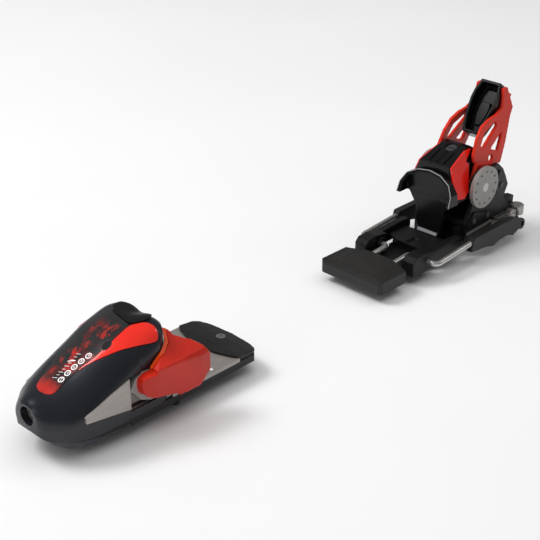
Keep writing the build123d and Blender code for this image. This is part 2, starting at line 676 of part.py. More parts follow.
# ---- write every sub-part ----
def toe_parts():
    outer = toe_shell_outer()
    window = toe_window(outer)
    flank = toe_flank(outer, window)
    parts = {
        "toe_front_foot": toe_front_foot(),
        "toe_base": toe_base(),
        "toe_chassis": toe_chassis(),
        "toe_guide_ribs": toe_guide_ribs(),
        "toe_housing": toe_housing(outer, window, flank),
        "toe_window": window,
        "toe_flank_left": mirrored(flank),
        "toe_flank_right": flank,
        "wing_pivot_pins": wing_pins(),
        "toe_drawbar": toe_drawbar(),
        "toe_release_spring": toe_spring(),
        "toe_spring_nut": toe_spring_nut(),
        "toe_setting_screw": toe_setting_screw(),
        "afd_plate": afd_plate(),
        "afd_shoe": afd_shoe(),
        "afd_screw": afd_screw(),
    }
    lip = wing_lip()
    for name, side in (("left", -1), ("right", 1)):
        parts[f"wing_{name}"] = wing(side, lip)
        parts[f"wing_lip_{name}"] = lip if side > 0 else mirrored(lip)
    return parts


def heel_parts():
    wire = brake_wire()
    housing = heel_housing()
    parts = {
        "brake_wire": wire,
        "brake_rollers": brake_rollers(),
        "brake_pedal": brake_pedal(),
        "heel_base_plate": heel_base_plate(),
        "heel_track": heel_track(),
        "brake_cover": brake_cover(),
        "track_nut": track_nut(),
        "side_latch": side_latch(),
        "track_end_cap": track_end_cap(),
        "heel_carrier": heel_carrier(),
        "carrier_rails": carrier_rails(),
        "rear_cover": rear_cover(),
        "adjuster_block": adjuster_block(),
        "length_screw": length_screw(),
        "pressure_springs": pressure_springs(),
        "main_axle": main_axle(),
        "heel_housing": housing,
        "heel_cup": heel_cup(housing),
        "cup_trim": cup_trim(),
        "treadle": treadle(),
        "heel_cam": heel_cam(),
        "heel_piston": heel_piston(),
        "heel_release_spring": heel_spring(),
        "heel_spring_nut": heel_nut(),
        "heel_setting_screw": heel_setting_screw(),
        "heel_lever": lever(),
        "pole_socket": pole_socket(),
    }
    for name, side in (("left", -1), ("right", 1)):
        parts[f"brake_foot_{name}"] = brake_foot(side, wire)
        parts[f"brake_base_{name}"] = brake_base(side)
        parts[f"axle_disc_{name}"] = axle_disc(side)
        parts[f"side_panel_{name}"] = side_panel(side, housing)
    return parts


os.makedirs("parts", exist_ok=True)
for origin, parts in ((toe_x, toe_parts()), (heel_x, heel_parts())):
    for name, part in parts.items():
        write(name, part, origin)
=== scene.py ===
import bpy
import bmesh
import json
from math import copysign, cos, pi, radians, sin
from mathutils import Matrix, Vector


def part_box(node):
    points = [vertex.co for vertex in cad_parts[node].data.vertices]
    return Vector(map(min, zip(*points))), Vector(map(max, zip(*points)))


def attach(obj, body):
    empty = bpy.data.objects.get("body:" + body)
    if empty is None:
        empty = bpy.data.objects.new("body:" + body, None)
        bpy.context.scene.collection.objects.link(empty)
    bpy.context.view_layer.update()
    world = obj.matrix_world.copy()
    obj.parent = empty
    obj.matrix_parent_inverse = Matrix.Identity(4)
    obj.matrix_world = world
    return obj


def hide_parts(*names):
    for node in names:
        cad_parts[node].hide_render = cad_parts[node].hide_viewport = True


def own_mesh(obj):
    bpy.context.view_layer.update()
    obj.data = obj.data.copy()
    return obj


# Looks of an alpine ski binding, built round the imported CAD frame.
# Lengths in the helpers are millimetres; MM turns them into Blender's metres.
# Toe pieces are drawn in the toe's own x, heel pieces in the heel's.

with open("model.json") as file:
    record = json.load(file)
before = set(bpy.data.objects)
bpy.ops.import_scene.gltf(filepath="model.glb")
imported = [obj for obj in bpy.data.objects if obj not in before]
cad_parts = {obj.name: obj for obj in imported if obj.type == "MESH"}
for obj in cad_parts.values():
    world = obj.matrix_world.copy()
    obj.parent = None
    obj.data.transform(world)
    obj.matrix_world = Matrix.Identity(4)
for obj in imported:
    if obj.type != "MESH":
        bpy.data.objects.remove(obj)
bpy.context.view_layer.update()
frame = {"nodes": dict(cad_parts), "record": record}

MM = 0.001
NODES = frame["nodes"]
SUBPARTS = frame["record"]["subparts"]
SLOT_OF = {s["node"]: s["material_slot"] for s in SUBPARTS}
BODY_OF = {n: body for body, nodes in frame["record"]["behaviour"]["bodies"].items() for n in nodes}
TOE_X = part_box("toe_housing")[0].x / MM - 2.0     # the toe piece's datum
HEEL_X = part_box("brake_pedal")[0].x / MM          # front of the heel pad
AXLE = (142.3, 52.3)                              # x and z of the heel's main axle


# ---------------------------------------------------------------- materials
def shader(name, color, rough=0.5, metallic=0.0, coat=0.0, coat_rough=0.08, spec=0.5):
    """A material with its shader; the uniform values sit on the shader's own sockets."""
    mat = bpy.data.materials.new(name)
    mat.use_nodes = True
    node = mat.node_tree.nodes["Principled BSDF"]
    node.inputs["Base Color"].default_value = (*color, 1)
    node.inputs["Roughness"].default_value = rough
    node.inputs["Metallic"].default_value = metallic
    node.inputs["Coat Weight"].default_value = coat
    node.inputs["Coat Roughness"].default_value = coat_rough
    node.inputs["Specular IOR Level"].default_value = spec
    return mat, mat.node_tree, node


def noise(tree, scale, detail=3.0, stretch=(1, 1, 1), kind="ShaderNodeTexNoise"):
    """Noise in the object's own coordinates; scale counts features per metre."""
    coord = tree.nodes.new("ShaderNodeTexCoord")
    place = tree.nodes.new("ShaderNodeMapping")
    place.inputs["Scale"].default_value = stretch
    tex = tree.nodes.new(kind)
    tex.inputs["Scale"].default_value = scale
    if "Detail" in tex.inputs:
        tex.inputs["Detail"].default_value = detail
    tree.links.new(coord.outputs["Object"], place.inputs["Vector"])
    tree.links.new(place.outputs["Vector"], tex.inputs["Vector"])
    return tex


def ramp(tree, source, low, high, start=0.35, end=0.65):
    """Blends between two colours as the source goes from start to end."""
    node = tree.nodes.new("ShaderNodeValToRGB")
    node.color_ramp.elements[0].position = start
    node.color_ramp.elements[0].color = (*low, 1)
    node.color_ramp.elements[1].position = end
    node.color_ramp.elements[1].color = (*high, 1)
    tree.links.new(source, node.inputs["Fac"])
    return node.outputs["Color"]


def span(tree, source, low, high):
    """Maps 0..1 to low..high."""
    node = tree.nodes.new("ShaderNodeMapRange")
    node.inputs["To Min"].default_value = low
    node.inputs["To Max"].default_value = high
    tree.links.new(source, node.inputs["Value"])
    return node.outputs["Result"]


def bump(tree, target, source, depth, strength=1.0):
    """Surface relief of a real depth in metres."""
    node = tree.nodes.new("ShaderNodeBump")
    node.inputs["Strength"].default_value = strength
    node.inputs["Distance"].default_value = depth
    tree.links.new(source, node.inputs["Height"])
    tree.links.new(node.outputs["Normal"], target.inputs["Normal"])


def painted_edge_highlight(tree, source_color, light, amount=0.35):
    """Painted highlight: lightens the convex edges a little, as light catching them would."""
    geo = tree.nodes.new("ShaderNodeNewGeometry")
    edge = ramp(tree, geo.outputs["Pointiness"], (0, 0, 0), (amount,) * 3, 0.52, 0.6)
    mix = tree.nodes.new("ShaderNodeMix")
    mix.data_type = "RGBA"
    tree.links.new(edge, mix.inputs["Factor"])
    tree.links.new(source_color, mix.inputs[6])
    mix.inputs[7].default_value = (*light, 1)
    return mix.outputs[2]


def shade(color, factor):
    return tuple(c * factor for c in color)


def moulded(name, color, rough=0.5, grain=0.00004, grain_scale=1400.0, coat=0.0, spread=0.12, spec=0.5):
    """Injection moulded plastic: fine spark-eroded grain, slight mottling and a painted highlight on the
    convex edges.
    """
    mat, tree, node = shader(name, color, rough, coat=coat, spec=spec)
    cloud = noise(tree, 45.0, 4.0)
    base = ramp(tree, cloud.outputs["Fac"], shade(color, 1 - spread), shade(color, 1 + spread))
    # painted highlight on the convex edges, towards 1.9 times the colour
    tree.links.new(painted_edge_highlight(tree, base, shade(color, 1.9)), node.inputs["Base Color"])
    fine = noise(tree, grain_scale, 2.0)
    tree.links.new(span(tree, fine.outputs["Fac"], rough - 0.06, rough + 0.08), node.inputs["Roughness"])
    bump(tree, node, fine.outputs["Fac"], grain)
    return mat


def glossy(name, color, rough=0.16, coat=1.0, coat_rough=0.05, spread=0.06, flow=0.00002):
    """Lacquered or polished plastic with a barely visible flow in its surface."""
    mat, tree, node = shader(name, color, rough, coat=coat, coat_rough=coat_rough)
    cloud = noise(tree, 30.0, 3.0)
    base = ramp(tree, cloud.outputs["Fac"], shade(color, 1 - spread), shade(color, 1 + spread))
    tree.links.new(base, node.inputs["Base Color"])
    tree.links.new(span(tree, cloud.outputs["Fac"], rough - 0.04, rough + 0.06), node.inputs["Roughness"])
    peel = noise(tree, 260.0, 1.0)
    bump(tree, node, peel.outputs["Fac"], flow)
    return mat


def brushed(name, color, rough=0.32, along="X", spread=0.14, depth=0.000012, metal=1.0):
    """Steel or aluminium sheet with brushing lines."""
    stretch = {"X": (0.02, 1, 1), "Y": (1, 0.02, 1), "Z": (1, 1, 0.02)}[along]
    mat, tree, node = shader(name, color, rough, metallic=metal)
    lines = noise(tree, 2600.0, 3.0, stretch)
    stain = noise(tree, 25.0, 3.0)
    base = ramp(tree, lines.outputs["Fac"], shade(color, 1 - spread), shade(color, 1 + spread), 0.3, 0.7)
    mix = tree.nodes.new("ShaderNodeMix")
    mix.data_type = "RGBA"
    mix.blend_type = "MULTIPLY"
    mix.inputs["Factor"].default_value = 0.5
    tree.links.new(base, mix.inputs[6])
    tree.links.new(ramp(tree, stain.outputs["Fac"], (0.8, 0.8, 0.8), (1, 1, 1)), mix.inputs[7])
    tree.links.new(mix.outputs[2], node.inputs["Base Color"])
    tree.links.new(span(tree, lines.outputs["Fac"], rough - 0.1, rough + 0.12), node.inputs["Roughness"])
    bump(tree, node, lines.outputs["Fac"], depth)
    return mat


def polished(name, color, rough=0.14, metal=0.8):
    """Drawn or turned steel, bright with fine scratches."""
    mat, tree, node = shader(name, color, rough, metallic=metal)
    scratch = noise(tree, 1800.0, 2.0, (1, 1, 0.2))
    tree.links.new(span(tree, scratch.outputs["Fac"], rough - 0.05, rough + 0.1), node.inputs["Roughness"])
    dull = noise(tree, 60.0, 3.0)
    base = ramp(tree, dull.outputs["Fac"], shade(color, 0.85), color)
    tree.links.new(base, node.inputs["Base Color"])
    bump(tree, node, scratch.outputs["Fac"], 0.000008)
    return mat


def speckled(name, color, fleck):
    """Painted or cast surface with pale and dark flecks."""
    mat, tree, node = shader(name, color, 0.5, metallic=0.35)
    cells = noise(tree, 900.0, kind="ShaderNodeTexVoronoi")
    dots = ramp(tree, cells.outputs["Distance"], fleck, color, 0.22, 0.34)
    cloud = noise(tree, 1500.0, 2.0)
    mix = tree.nodes.new("ShaderNodeMix")
    mix.data_type = "RGBA"
    mix.blend_type = "MULTIPLY"
    mix.inputs["Factor"].default_value = 0.7
    tree.links.new(dots, mix.inputs[6])
    tree.links.new(ramp(tree, cloud.outputs["Fac"], (0.55, 0.55, 0.55), (1, 1, 1), 0.4, 0.6), mix.inputs[7])
    tree.links.new(mix.outputs[2], node.inputs["Base Color"])
    tree.links.new(span(tree, cloud.outputs["Fac"], 0.4, 0.62), node.inputs["Roughness"])
    bump(tree, node, cloud.outputs["Fac"], 0.00005)
    return mat


def tinted(name, color, rough=0.32):
    """A wing's deep coloured moulding, with the steel drum inside it told apart by where it lies."""
    mat, tree, node = shader(name, color, rough, coat=0.12, coat_rough=0.2, spec=0.28)
    node.inputs["Subsurface Weight"].default_value = 0.12
    node.inputs["Subsurface Scale"].default_value = 0.004
    node.inputs["Subsurface Radius"].default_value = (1.0, 0.2, 0.1)
    cloud = noise(tree, 40.0, 3.0)
    base = ramp(tree, cloud.outputs["Fac"], shade(color, 0.88), shade(color, 1.1))
    coord = tree.nodes.new("ShaderNodeTexCoord")
    axes = tree.nodes.new("ShaderNodeSeparateXYZ")
    tree.links.new(coord.outputs["Object"], axes.inputs["Vector"])
    outward = tree.nodes.new("ShaderNodeMath")
    outward.operation = "ABSOLUTE"
    tree.links.new(axes.outputs["Y"], outward.inputs[0])
    drum = tree.nodes.new("ShaderNodeMath")
    drum.operation = "MULTIPLY"
    tree.links.new(band(tree, outward.outputs[0], 33.2 * MM, 32.9 * MM), drum.inputs[0])
    below = tree.nodes.new("ShaderNodeMath")
    below.operation = "MULTIPLY"
    tree.links.new(band(tree, axes.outputs["X"], (TOE_X + 97.0) * MM, (TOE_X + 96.0) * MM), below.inputs[0])
    tree.links.new(band(tree, axes.outputs["Z"], 42.0 * MM, 41.5 * MM), below.inputs[1])
    tree.links.new(below.outputs[0], drum.inputs[1])
    steel = ramp(tree, cloud.outputs["Fac"], (0.30, 0.28, 0.26), (0.38, 0.355, 0.33))
    tree.links.new(mixed(tree, drum.outputs[0], base, steel), node.inputs["Base Color"])
    fine = noise(tree, 1100.0, 2.0)
    tree.links.new(span(tree, fine.outputs["Fac"], rough - 0.05, rough + 0.08), node.inputs["Roughness"])
    bump(tree, node, fine.outputs["Fac"], 0.00002)
    return mat


def stepped(tree, source, *stops):
    """Hard-edged bands of colour: (position, colour) pairs."""
    node = tree.nodes.new("ShaderNodeValToRGB")
    node.color_ramp.interpolation = "CONSTANT"
    for k, (position, color) in enumerate(stops):
        items = node.color_ramp.elements
        stop = items[k] if k < len(items) else items.new(position)
        stop.position = position
        stop.color = (*color, 1)
    tree.links.new(source, node.inputs["Fac"])
    return node.outputs["Color"]


def mixed(tree, factor, low, high):
    """Blends two colour outputs."""
    mix = tree.nodes.new("ShaderNodeMix")
    mix.data_type = "RGBA"
    tree.links.new(factor, mix.inputs["Factor"])
    tree.links.new(low, mix.inputs[6])
    tree.links.new(high, mix.inputs[7])
    return mix.outputs[2]


def band(tree, source, start, end):
    """0 before start, 1 after end (either order)."""
    node = tree.nodes.new("ShaderNodeMapRange")
    node.inputs["From Min"].default_value = start
    node.inputs["From Max"].default_value = end
    tree.links.new(source, node.inputs["Value"])
    return node.outputs["Result"]


def printed(name):
    """Cover with an abstract print under a clear skin: red shards on smoked black."""
    mat, tree, node = shader(name, (0.02, 0.01, 0.01), 0.2, coat=1.0, coat_rough=0.04, spec=0.4)
    coord = tree.nodes.new("ShaderNodeTexCoord")
    place = tree.nodes.new("ShaderNodeMapping")
    place.inputs["Scale"].default_value = (1 / MM,) * 3
    place.inputs["Location"].default_value = (-TOE_X, 0, 0)
    tree.links.new(coord.outputs["Object"], place.inputs["Vector"])
    axes = tree.nodes.new("ShaderNodeSeparateXYZ")
    tree.links.new(place.outputs["Vector"], axes.inputs["Vector"])
    smoke, dark = (0.012, 0.013, 0.014), (0.02, 0.008, 0.009)
    maroon, red = (0.13, 0.008, 0.008), (0.5, 0.018, 0.01)
    layers = []
    for turn, scale, metric, stops in (
            (0.6, 0.10, "MANHATTAN", ((0.0, smoke), (0.38, dark), (0.52, maroon), (0.7, red))),
            (-0.5, 0.27, "CHEBYCHEV", ((0.0, smoke), (0.62, maroon), (0.86, red)))):
        spin = tree.nodes.new("ShaderNodeMapping")
        spin.inputs["Rotation"].default_value = (0, 0, turn)
        spin.inputs["Scale"].default_value = (0.8, 1.3, 0.3)
        cells = tree.nodes.new("ShaderNodeTexVoronoi")
        cells.distance = metric
        cells.inputs["Scale"].default_value = scale
        tree.links.new(place.outputs["Vector"], spin.inputs["Vector"])
        tree.links.new(spin.outputs["Vector"], cells.inputs["Vector"])
        shade_of = tree.nodes.new("ShaderNodeSeparateColor")
        tree.links.new(cells.outputs["Color"], shade_of.inputs["Color"])
        layers.append(stepped(tree, shade_of.outputs["Red"], *stops))
    cloud = noise(tree, 60.0, 2.0)
    pattern = mixed(tree, span(tree, cloud.outputs["Fac"], 0.2, 0.6), layers[0], layers[1])
    plain = [ramp(tree, cloud.outputs["Fac"], shade(c, 0.85), shade(c, 1.1)) for c in (smoke, red)]
    pattern = mixed(tree, band(tree, axes.outputs["Y"], 11.5, 13.0), pattern, plain[0])
    pattern = mixed(tree, band(tree, axes.outputs["Z"], 62.2, 64.2), pattern, plain[0])
    pattern = mixed(tree, band(tree, axes.outputs["X"], 30.0, 21.0), pattern, plain[1])
    tree.links.new(pattern, node.inputs["Base Color"])
    tree.links.new(span(tree, cloud.outputs["Fac"], 0.18, 0.28), node.inputs["Roughness"])
    return mat


M = {
    "foot_grey": moulded("foot_grey", (0.05, 0.051, 0.064), 0.45, spec=0.4),
    "base_black": moulded("base_black", (0.0075, 0.0075, 0.008), 0.42, spec=0.3),
    "plate_steel": brushed("plate_steel", (0.40, 0.37, 0.345), 0.42, metal=0.55),
    "rib_white": moulded("rib_white", (0.8, 0.8, 0.79), 0.4),
    "dome_black": moulded("dome_black", (0.0085, 0.0095, 0.0145), 0.38, grain=0.000010, coat=0.12,
                          spread=0.08, spec=0.4),
    "flank_red": glossy("flank_red", (0.85, 0.016, 0.004)),
    "wing_red": tinted("wing_red", (0.56, 0.020, 0.008)),
    "lip_orange": glossy("lip_orange", (0.83, 0.075, 0.006), 0.25, 0.6),
    "pin_steel": polished("pin_steel", (0.5, 0.5, 0.5)),
    "spring_steel": polished("spring_steel", (0.16, 0.16, 0.17), 0.3),
    "alloy": brushed("alloy", (0.5, 0.5, 0.51), 0.35, metal=0.7),
    "screw_steel": polished("screw_steel", (0.42, 0.41, 0.39), 0.26),
    "afd_black": moulded("afd_black", (0.014, 0.014, 0.0145), 0.5, grain=0.00005, spec=0.35),
    "pad_black": moulded("pad_black", (0.017, 0.0158, 0.015), 0.46, grain=0.00004, spec=0.35),
    "wire_steel": polished("wire_steel", (0.58, 0.57, 0.55), 0.2),
    "heel_black": moulded("heel_black", (0.0045, 0.0045, 0.005), 0.24, grain=0.000008, coat=0.12,
                          spread=0.08, spec=0.22),
    "panel_red": glossy("panel_red", (0.87, 0.012, 0.004)),
    "disc_grey": speckled("disc_grey", (0.36, 0.345, 0.33), (0.10, 0.10, 0.10)),
    "lever_red": moulded("lever_red", (0.66, 0.026, 0.010), 0.38, grain=0.000015, coat=0.08,
                         spread=0.06, spec=0.25),
    "trim_grey": glossy("trim_grey", (0.26, 0.265, 0.28), 0.3, 0.3),
    "window_print": printed("window_print"),
}


# ---------------------------------------------------------------- mesh helpers
def soften(obj, width, segments=2, angle=28.0):
    """Rounds every sharp edge by a modifier, leaving the mesh as it is."""
    weld = obj.modifiers.new("weld", "WELD")
    weld.merge_threshold = 0.000002
    bevel = obj.modifiers.new("round", "BEVEL")
    bevel.width = width * MM
    bevel.segments = segments
    bevel.limit_method = "ANGLE"
    bevel.angle_limit = radians(angle)
    bevel.use_clamp_overlap = True
    bevel.miter_outer = "MITER_ARC"
    normal = obj.modifiers.new("normal", "WEIGHTED_NORMAL")
    normal.weight = 80
    normal.keep_sharp = False


def put(name, mesh):
    obj = bpy.data.objects.new(name, mesh)
    bpy.context.scene.collection.objects.link(obj)
    return obj


def solid(name, points, faces, at):
    """Closed mesh from millimetre points, its normals turned outwards."""
    mesh = bpy.data.meshes.new(name)
    mesh.from_pydata([((x + at) * MM, y * MM, z * MM) for x, y, z in points], [], faces)
    work = bmesh.new()
    work.from_mesh(mesh)
    bmesh.ops.recalc_face_normals(work, faces=work.faces)
    work.to_mesh(mesh)
    work.free()
    return put(name, mesh)


def settle(obj):
    """Makes the modifiers' result the object's mesh."""
    graph = bpy.context.evaluated_depsgraph_get()
    mesh = bpy.data.meshes.new_from_object(obj.evaluated_get(graph))
    obj.modifiers.clear()
    obj.data = mesh


def carve(obj, cutters):
    """Takes the cutters away from a solid and deletes them."""
    for cutter in cutters:
        step = obj.modifiers.new("carve", "BOOLEAN")
        step.operation = "DIFFERENCE"
        step.solver = "EXACT"
        step.use_self = True
        step.object = cutter
    settle(obj)
    for cutter in cutters:
        bpy.data.objects.remove(cutter)


def smooth(obj, angle=35.0):
    for face in obj.data.polygons:
        face.use_smooth = True
    obj.data.set_sharp_from_angle(angle=radians(angle))


def finish(obj, body, slot_name, stands_for=()):
    """Gives a finished piece its material, its body and its slot."""
    obj.data.materials.clear()
    obj.data.materials.append(M[slot_name])
    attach(obj, body)
    if stands_for:
        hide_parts(*stands_for)
    return obj


def prism(points, low, high, axis, at):
    """Outline in the two axes other than the given one, extruded along it."""
    put_in = {"x": lambda a, b, c: (c, a, b),
              "y": lambda a, b, c: (a, c, b),
              "z": lambda a, b, c: (a, b, c)}[axis]
    n = len(points)
    verts = [put_in(a, b, c) for c in (low, high) for a, b in points]
    sides = [(k, (k + 1) % n, n + (k + 1) % n, n + k) for k in range(n)]
    return solid("prism", verts, [tuple(range(n))[::-1], tuple(range(n, 2 * n))] + sides, at)


def ring(r, n=48, at=(0.0, 0.0)):
    return [(at[0] + r * cos(2 * pi * k / n), at[1] + r * sin(2 * pi * k / n)) for k in range(n)]


def box(x, y, z, at):
    return prism([(x[0], y[0]), (x[1], y[0]), (x[1], y[1]), (x[0], y[1])], z[0], z[1], "z", at)


def melted(node, voxel, passes, sculpt=None, cutters=()):
    """A moulding's form of a CAD node: same shape and place, every edge melted round."""
    obj = put(node + "_skin", NODES[node].data.copy())
    if cutters:
        carve(obj, cutters)
    remesh = obj.modifiers.new("remesh", "REMESH")
    remesh.mode = "VOXEL"
    remesh.voxel_size = voxel * MM
    remesh.use_smooth_shade = True
    if sculpt:
        settle(obj)
        for vert in obj.data.vertices:
            vert.co = sculpt(vert.co / MM) * MM
    relax = obj.modifiers.new("relax", "SMOOTH")
    relax.factor = 0.5
    relax.iterations = passes
    settle(obj)
    for face in obj.data.polygons:
        face.use_smooth = True
    return finish(obj, BODY_OF[node], SLOT_OF[node], (node,))


# ---------------------------------------------------------------- toe piece
# x: half width at the shoulder, shoulder height, top, roundness, half width below, height of the lower edge
DOME = {
    5.0: (12.2, 20.2, 33.0, 2.1, 11.0, 13.8), 6.4: (15.0, 19.6, 34.2, 2.05, 13.6, 12.0),
    9.0: (18.2, 18.8, 35.6, 2.0, 16.6, 10.2), 13.0: (22.2, 18.8, 36.8, 1.95, 20.4, 9.2),
    20.0: (28.4, 20.0, 38.6, 1.95, 26.6, 8.8), 34.0: (32.3, 24.0, 43.2, 2.15, 32.2, 8.8),
    47.0: (33.0, 27.0, 49.0, 2.4, 33.0, 8.8), 60.0: (33.0, 30.0, 55.0, 2.65, 33.0, 8.8),
    72.0: (33.0, 33.0, 60.5, 2.9, 33.0, 8.8), 85.0: (33.0, 35.0, 64.6, 3.1, 33.0, 8.8),
    95.0: (32.6, 37.0, 66.8, 3.2, 32.4, 8.8), 102.0: (31.5, 39.0, 66.2, 3.0, 31.0, 14.0),
    106.5: (29.5, 40.0, 63.5, 2.7, 28.0, 26.0), 108.5: (27.5, 41.0, 60.0, 2.5, 26.0, 29.0)}
SIDE_PLATE = [(28.3, 21.8), (28.3, 26.9), (50, 35.2), (68.2, 40.8), (68.2, 15.3)]
SIDE_WEB = [(32.7, 8.3), (32.7, 27.2), (50, 34.8), (66, 39.8), (98.2, 40.3), (98.2, 8.3)]
FLOOR = [(30, 0), (30, 23), (40, 28), (58, 31), (103, 31), (103, 33), (168, 33), (168, 0)]
WING_ROOM = [(75.6, 34.5), (76.4, 30.9), (79.3, 32.2), (83, 32.7), (94.5, 31), (101.3, 27), (105.7, 19.5),
             (108, 16), (115, 16), (115, 45), (83, 45)]
WING_PIVOT = (83.0, 22.5)
NOSE_Z = 24.6


def spline(table, x):
    """Smooth values through a table {x: values}."""
    keys = sorted(table)
    x = min(max(x, keys[0]), keys[-1])
    k = max(i for i, key in enumerate(keys[:-1]) if key <= x)
    a, b = keys[k], keys[k + 1]

    def value(i):
        item = table[keys[i]]
        return item if isinstance(item, tuple) else (item,)

    def slope(i):
        lo, hi = max(i - 1, 0), min(i + 1, len(keys) - 1)
        return [(q - p) / (keys[hi] - keys[lo]) for p, q in zip(value(lo), value(hi))]
    t, w = (x - a) / (b - a), b - a
    h = (2 * t ** 3 - 3 * t * t + 1, (t ** 3 - 2 * t * t + t) * w,
         3 * t * t - 2 * t ** 3, (t ** 3 - t * t) * w)
    rows = zip(value(k), slope(k), value(k + 1), slope(k + 1))
    return [sum(c * v for c, v in zip(h, row)) for row in rows]


def saddle_dip(x, y):
    """The housing's rear top dips between its two shoulders."""
    t = min(max((x - 86.0) / 16.0, 0.0), 1.0)
    return 4.0 * t * t * (3 - 2 * t) * 2.718 ** (-(y / 9.5) ** 2)


ARCHES = {}


def arch(x):
    """The housing's arch at x: points from one shoulder to the other, with the run up to each."""
    key = round(x, 3)
    if key not in ARCHES:
        ws, zs, top, p = spline(DOME, x)[:4]
        points, run = [], [0.0]
        for k in range(201):
            t = pi * (k / 200 - 0.5)
            y = ws * copysign(abs(sin(t)) ** (2 / p), t)
            points.append((y, zs + (top - zs) * abs(cos(t)) ** (2 / p) - saddle_dip(x, y)))
        for (ya, za), (yb, zb) in zip(points, points[1:]):
            run.append(run[-1] + ((yb - ya) ** 2 + (zb - za) ** 2) ** 0.5)
        ARCHES[key] = points, run
    return ARCHES[key]


def between(marks, values, mark):
    """Linear look-up in rising marks."""
    low, high = 0, len(marks) - 1
    while high - low > 1:
        mid = (low + high) // 2
        low, high = (mid, high) if marks[mid] <= mark else (low, mid)
    t = min(max((mark - marks[low]) / max(marks[high] - marks[low], 1e-9), 0.0), 1.0)
    return tuple(p + (q - p) * t for p, q in zip(values[low], values[high]))


def share_at(x, y):
    """Share (-1..1) of the arch where it passes over y."""
    points, run = arch(x)
    length = between([p[0] for p in points], [(r,) for r in run], y)[0]
    return 2 * length / run[-1] - 1


def on_arch(x, share):
    points, run = arch(x)
    y, z = between(run, points, (share + 1) / 2 * run[-1])
    return Vector((x, y, z))


def skin(x, share, out=0.0):
    """Point of the housing's arch at x, lifted by out along the surface's normal."""
    point = on_arch(x, share)
    if not out:
        return point
    along = on_arch(x + 0.4, share) - on_arch(x - 0.4, share)
    across = on_arch(x, min(share + 0.02, 1)) - on_arch(x, max(share - 0.02, -1))
    return point + along.cross(across).normalized() * out


def dome_solid(stations, inset=0.0):
    """Closed skin of the housing, or of its cavity when inset."""
    rows, count = [], 64
    for x in stations:
        wb, zb = spline(DOME, x)[4:]
        crown = [skin(x, -1 + 2 * k / (count - 1), -inset) for k in range(count)]
        left, right = crown[0], crown[-1]
        feet = [(x, -max(wb - inset, 1), zb - inset), (x, max(wb - inset, 1), zb - inset)]
        drop = [tuple(right.lerp(Vector(feet[1]), t / 5)) for t in range(1, 5)]
        rise = [tuple(Vector(feet[0]).lerp(left, t / 5)) for t in range(1, 5)]
        rows.append([tuple(p) for p in crown] + drop + [feet[1], feet[0]] + rise)
    n = len(rows[0])
    faces = [(i * n + k, i * n + (k + 1) % n, (i + 1) * n + (k + 1) % n, (i + 1) * n + k)
             for i in range(len(rows) - 1) for k in range(n)]
    faces += [tuple(range(n)), tuple(range((len(rows) - 1) * n, len(rows) * n))[::-1]]
    return solid("dome", [p for row in rows for p in row], faces, TOE_X)


def patch(name, rows, low, high):
    """Closed shell over a grid of (x, share) on the housing, from low to high off its surface."""
    count, width = len(rows), len(rows[0])
    verts = [tuple(skin(x, share, out)) for out in (high, low) for row in rows for x, share in row]
    size = count * width

    def at(level, i, k):
        return level * size + i * width + k
    faces = []
    for i in range(count - 1):
        for k in range(width - 1):
            quad = [(i, k), (i, k + 1), (i + 1, k + 1), (i + 1, k)]
            faces.append(tuple(at(0, *c) for c in quad))
            faces.append(tuple(at(1, *c) for c in reversed(quad)))
    border = ([(0, k) for k in range(width)] + [(i, width - 1) for i in range(1, count)]
              + [(count - 1, k) for k in range(width - 2, -1, -1)]
              + [(i, 0) for i in range(count - 2, 0, -1)])
    for a, b in zip(border, border[1:] + border[:1]):
        faces.append((at(0, *a), at(0, *b), at(1, *b), at(1, *a)))
    return solid(name, verts, faces, TOE_X)


def strip_rows(first, second, columns, step=1.0):
    """Grid between two edges given as tables {x: y}; both tables run over the same x."""
    keys = sorted(set(first) | set(second))
    xs = []
    for a, b in zip(keys, keys[1:]):
        n = max(1, round((b - a) / step))
        xs += [a + (b - a) * t / n for t in range(n)]
    xs.append(keys[-1])
    rows = []
    for x in xs:
        a, b = share_at(x, spline(first, x)[0]), share_at(x, spline(second, x)[0])
        rows.append([(x, a + (b - a) * t / columns) for t in range(columns + 1)])
    return rows


def crosswise_rows(front, back, columns, step=1.0):
    """Grid between a front and a rear edge given as tables {y: x}."""
    keys = sorted(set(front) | set(back))
    ys = []
    for a, b in zip(keys, keys[1:]):
        n = max(1, round((b - a) / step))
        ys += [a + (b - a) * t / n for t in range(n)]
    ys.append(keys[-1])
    rows = []
    for y in ys:
        a, b = spline(front, y)[0], spline(back, y)[0]
        row_xs = [a + (b - a) * t / columns for t in range(columns + 1)]
        rows.append([(x, share_at(x, y)) for x in row_xs])
    return rows


WINDOW_NEAR = {17.2: -0.8, 17.6: -3.2, 18.5: -5.8, 20.0: -7.7, 22.5: -8.7, 27.0: -8.2, 35.0: -7.6, 41.0: -8.0,
               47.0: -8.8, 53.0: -10.2, 60.0: -11.0, 67.0: -11.6, 75.0: -11.8, 84.6: -11.4, 85.6: -9.9,
               86.4: -2.1, 88.4: 8.8, 92.6: 13.6}
WINDOW_FAR = {17.2: 0.8, 17.8: 3.4, 19.2: 6.4, 23.0: 9.4, 29.5: 12.3, 40.0: 16.6, 48.0: 18.3, 56.0: 19.2,
              64.0: 19.6, 77.0: 18.8, 84.0: 18.0, 90.0: 16.8, 92.6: 15.2}
FLANK_HIGH = {43.0: -8.6, 47.0: -9.2, 53.0: -10.6, 60.0: -11.4, 67.0: -12.0, 75.0: -12.2, 84.5: -11.9,
              88.0: -13.4, 92.0: -15.9, 95.0: -18.6, 97.2: -22.4}
FLANK_LOW = {43.0: -9.2, 47.0: -10.3, 51.5: -12.2, 56.6: -14.8, 66.0: -19.8, 75.6: -24.8, 86.0: -28.5,
             93.0: -29.7, 95.6: -28.4, 97.2: -25.4}
FAR_HIGH = {72.0: 27.6, 80.0: 28.6, 88.0: 29.0, 96.6: 29.2}
